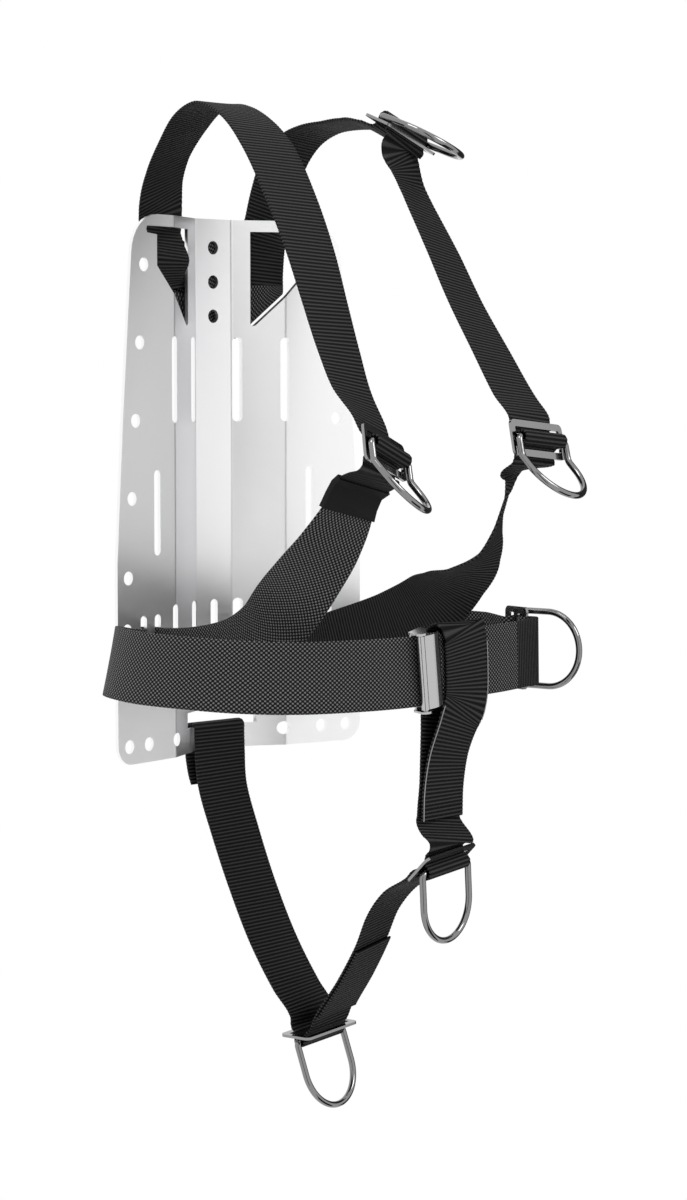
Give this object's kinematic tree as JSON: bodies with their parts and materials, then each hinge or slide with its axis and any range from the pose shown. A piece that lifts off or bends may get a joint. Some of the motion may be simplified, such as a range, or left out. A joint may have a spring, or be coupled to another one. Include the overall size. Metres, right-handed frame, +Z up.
{
  "type": "diving backplate with webbing harness",
  "caption": "Bent steel plate with slots and holes, worn on the back with webbing shoulder straps, a waist belt with a lever buckle, a crotch strap and hinged D-rings.",
  "frame": {"origin": "middle of the three centre-line holes, on the rear face of the plate's middle panel", "axes": "+Z up as worn, -Y towards the diver and forward, +X towards the diver's left"},
  "size_m": [0.34, 0.3073, 0.7302],
  "materials": {
    "plate": "brushed stainless sheet",
    "webbing": "black ribbed polyester webbing",
    "keeper": "smooth black woven sleeve",
    "ring_steel": "polished stainless wire",
    "slide_steel": "polished stainless plate",
    "buckle_steel": "satin stainless"
  },
  "bodies": {
    "harness": {"backplate": "plate", "back_webbing_right": "webbing", "shoulder_webbing_right": "webbing", "chest_webbing_right": "webbing", "slot_webbing_right": "webbing", "waist_webbing_right": "webbing", "back_webbing_left": "webbing", "shoulder_webbing_left_rear": "webbing", "shoulder_webbing_left_front": "webbing", "chest_webbing_left": "webbing", "slot_webbing_left": "webbing", "hip_webbing_left": "webbing", "waist_webbing_left": "webbing", "crotch_belt_loop": "webbing", "crotch_riser": "webbing", "crotch_webbing_front": "webbing", "crotch_webbing_rear": "webbing", "crotch_tail": "webbing", "slide_chest_right": "slide_steel", "slide_chest_left": "slide_steel", "slide_shoulder_left": "slide_steel", "slide_hip_left": "slide_steel", "slide_crotch_front": "slide_steel", "slide_crotch_rear": "slide_steel", "buckle_frame": "buckle_steel", "buckle_rod": "buckle_steel", "buckle_pin": "buckle_steel", "webbing_keeper": "keeper"},
    "ring_chest_right": {"ring_chest_right": "ring_steel"},
    "ring_chest_left": {"ring_chest_left": "ring_steel"},
    "ring_shoulder_left": {"ring_shoulder_left": "ring_steel"},
    "ring_hip_left": {"ring_hip_left": "ring_steel"},
    "ring_crotch_front": {"ring_crotch_front": "ring_steel"},
    "ring_crotch_rear": {"ring_crotch_rear": "ring_steel"},
    "buckle_lever": {"buckle_lever": "buckle_steel"}
  },
  "joints": [
    {"name": "ring_chest_right_swing", "type": "hinge", "parent": "harness", "child": "ring_chest_right", "pos_m": [-0.076, -0.266, -0.12], "axis": [0.9095, 0.2955, -0.2924], "range_deg": [-170, 0]},
    {"name": "ring_chest_left_swing", "type": "hinge", "parent": "harness", "child": "ring_chest_left", "pos_m": [0.076, -0.265, -0.114], "axis": [0.9888, 0.1214, -0.0872], "range_deg": [-170, 0]},
    {"name": "ring_shoulder_left_swing", "type": "hinge", "parent": "harness", "child": "ring_shoulder_left", "pos_m": [0.0755, -0.1275, 0.1095], "axis": [0.9418, 0.1324, -0.309], "range_deg": [-170, 0]},
    {"name": "ring_hip_left_swing", "type": "hinge", "parent": "harness", "child": "ring_hip_left", "pos_m": [0.164, -0.165, -0.273], "axis": [0, 0, -1], "range_deg": [-160, 8]},
    {"name": "ring_crotch_front_swing", "type": "hinge", "parent": "harness", "child": "ring_crotch_front", "pos_m": [0.029, -0.217, -0.418], "axis": [0.9853, 0.1561, 0.0698], "range_deg": [-130, 43]},
    {"name": "ring_crotch_rear_swing", "type": "hinge", "parent": "harness", "child": "ring_crotch_rear", "pos_m": [0.013, -0.104, -0.554], "axis": [0.9842, 0.1735, 0.0349], "range_deg": [-67, 103]},
    {"name": "buckle_lever_swing", "type": "hinge", "parent": "harness", "child": "buckle_lever", "pos_m": [-0.00467, -0.22762, -0.27663], "axis": [0.1195, 0.0168, -0.9927], "range_deg": [0, 110]}
  ]
}
